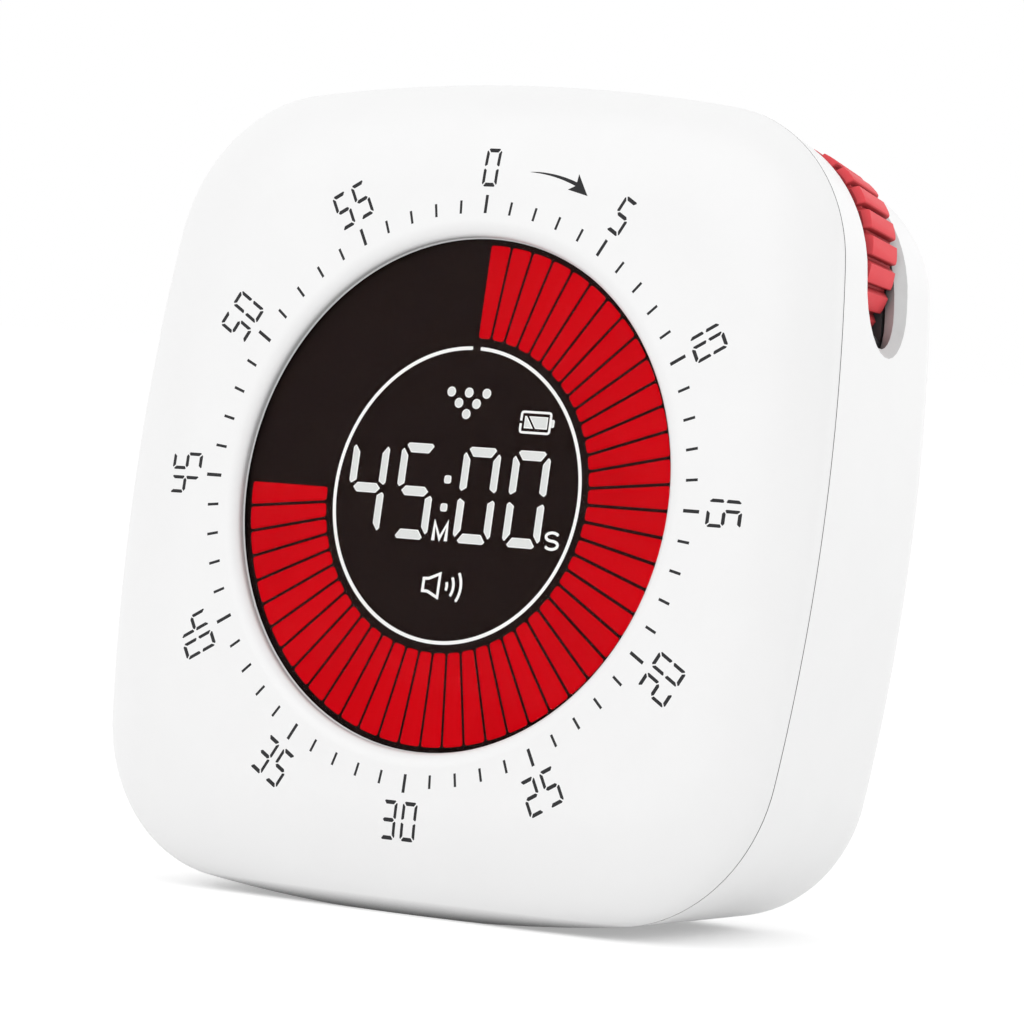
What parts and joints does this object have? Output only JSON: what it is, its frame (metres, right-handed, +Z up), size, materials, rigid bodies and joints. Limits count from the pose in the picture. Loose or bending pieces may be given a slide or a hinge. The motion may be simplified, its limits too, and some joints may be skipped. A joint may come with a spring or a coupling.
{
  "type": "visual countdown timer",
  "caption": "Desk countdown timer: rounded square two-part case, round display in its face, ribbed setting wheel in a corner slot, volume slide and hinged battery lid behind",
  "frame": {"origin": "middle of the bounding box on the table, under the case", "axes": "X to the right seen from the front, Y from the dial towards the back, Z up; the case leans back by 8.3 degrees on the flat of its tapered underside"},
  "size_m": [0.084, 0.0384, 0.0829],
  "materials": {
    "white_plastic": "fine satin moulding",
    "coral_plastic": "satin moulding",
    "black_plastic": "satin moulding",
    "grey_plastic": "satin moulding",
    "clear_acrylic": "polished",
    "display_glass": "polished",
    "film": "smooth film",
    "tape": "smooth film",
    "circuit_board": "solder resist",
    "zinc_steel": "zinc plated",
    "nickel_steel": "nickel plated",
    "cell_sleeve": "printed sleeve",
    "tinned_metal": "tinned",
    "lamp_resin": "moulded resin",
    "resistor_body": "fired ceramic",
    "wire_sleeve": "extruded sleeve",
    "cable_sleeve": "extruded sleeve",
    "strip_rubber": "smooth",
    "brass_disc": "rolled sheet",
    "ceramic_wafer": "silvered ceramic"
  },
  "bodies": {
    "case": {"front_cover": "white_plastic", "rear_cover": "white_plastic", "case_screws": "zinc_steel", "display_window": "clear_acrylic", "window_tape": "tape", "front_polariser": "film", "front_glass": "display_glass", "rear_glass": "display_glass", "colour_film": "film", "diffuser_film": "film", "light_guide": "clear_acrylic", "reflector_film": "film", "backlight_leds": "lamp_resin", "display_frame": "black_plastic", "contact_strip": "strip_rubber", "main_board": "circuit_board", "board_screws": "zinc_steel", "controller_chip": "black_plastic", "chip_leads": "tinned_metal", "electrolytic_capacitor": "tinned_metal", "quartz_crystal": "tinned_metal", "chip_resistors": "resistor_body", "encoder_bracket": "zinc_steel", "encoder_housing": "black_plastic", "wheel_carrier": "black_plastic", "carrier_screws": "zinc_steel", "rear_board": "circuit_board", "board_headers": "black_plastic", "ribbon_cable": "cable_sleeve", "switch_body": "zinc_steel", "battery_cells": "cell_sleeve", "contact_plates": "nickel_steel", "battery_springs": "nickel_steel", "battery_leads": "wire_sleeve", "buzzer_disc": "brass_disc", "buzzer_ceramic": "ceramic_wafer", "buzzer_leads": "wire_sleeve", "magnets": "nickel_steel"},
    "thumbwheel": {"thumbwheel": "coral_plastic", "encoder_shaft": "zinc_steel"},
    "volume_switch": {"volume_knob": "grey_plastic", "switch_stem": "grey_plastic"},
    "battery_door": {"battery_door": "white_plastic"}
  },
  "joints": [
    {"name": "wheel_turn", "type": "hinge", "parent": "case", "child": "thumbwheel", "pos_m": [0.0274, 0.00378, 0.06694], "axis": [0, -0.9895, 0.1444], "continuous": true},
    {"name": "volume_slide", "type": "slide", "parent": "case", "child": "volume_switch", "axis": [1, 0, 0], "range_m": [-0.002, 0.002]},
    {"name": "lid_hinge", "type": "hinge", "parent": "case", "child": "battery_door", "pos_m": [0, 0.00985, 0.01436], "axis": [-1, 0, 0], "range_deg": [0, 90]}
  ]
}
